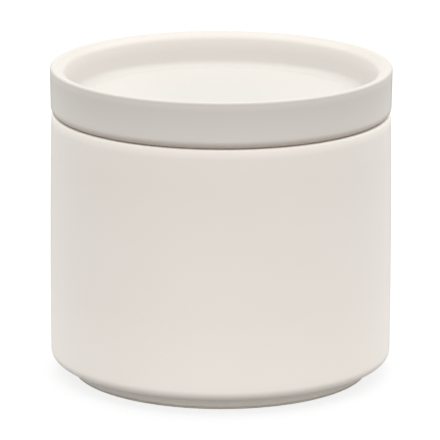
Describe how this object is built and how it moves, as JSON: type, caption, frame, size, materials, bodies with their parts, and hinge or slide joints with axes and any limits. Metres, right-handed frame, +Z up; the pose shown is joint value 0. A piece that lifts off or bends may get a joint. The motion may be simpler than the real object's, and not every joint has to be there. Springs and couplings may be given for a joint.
{
  "type": "lidded ceramic jar",
  "caption": "Round straight-sided ceramic box on a recessed foot ring, with a lift-off lid whose top is a shallow tray and a soft ring that seats it in the mouth.",
  "frame": {"origin": "middle of the circle on which the foot ring stands, at the part's lowest plane", "axes": "+Z up along the axis that the jar, the lid and the ring are turned about; +X and +Y lie in the standing plane, in no special direction because the part is round"},
  "size_m": [0.1054, 0.1054, 0.0961],
  "materials": {
    "jar_glaze": "satin",
    "lid_glaze": "satin",
    "seal_silicone": "matte"
  },
  "bodies": {
    "jar": {"jar": "jar_glaze"},
    "seal_ring": {"seal_ring": "seal_silicone"},
    "lid": {"lid": "lid_glaze"}
  },
  "joints": [
    {"name": "lid_lift", "type": "slide", "parent": "jar", "child": "seal_ring", "axis": [0, 0, 1], "range_m": [0, 0.09]},
    {"name": "lid_turn", "type": "hinge", "parent": "seal_ring", "child": "lid", "pos_m": [0, 0, 0.0817], "axis": [0, 0, 1], "continuous": true}
  ]
}
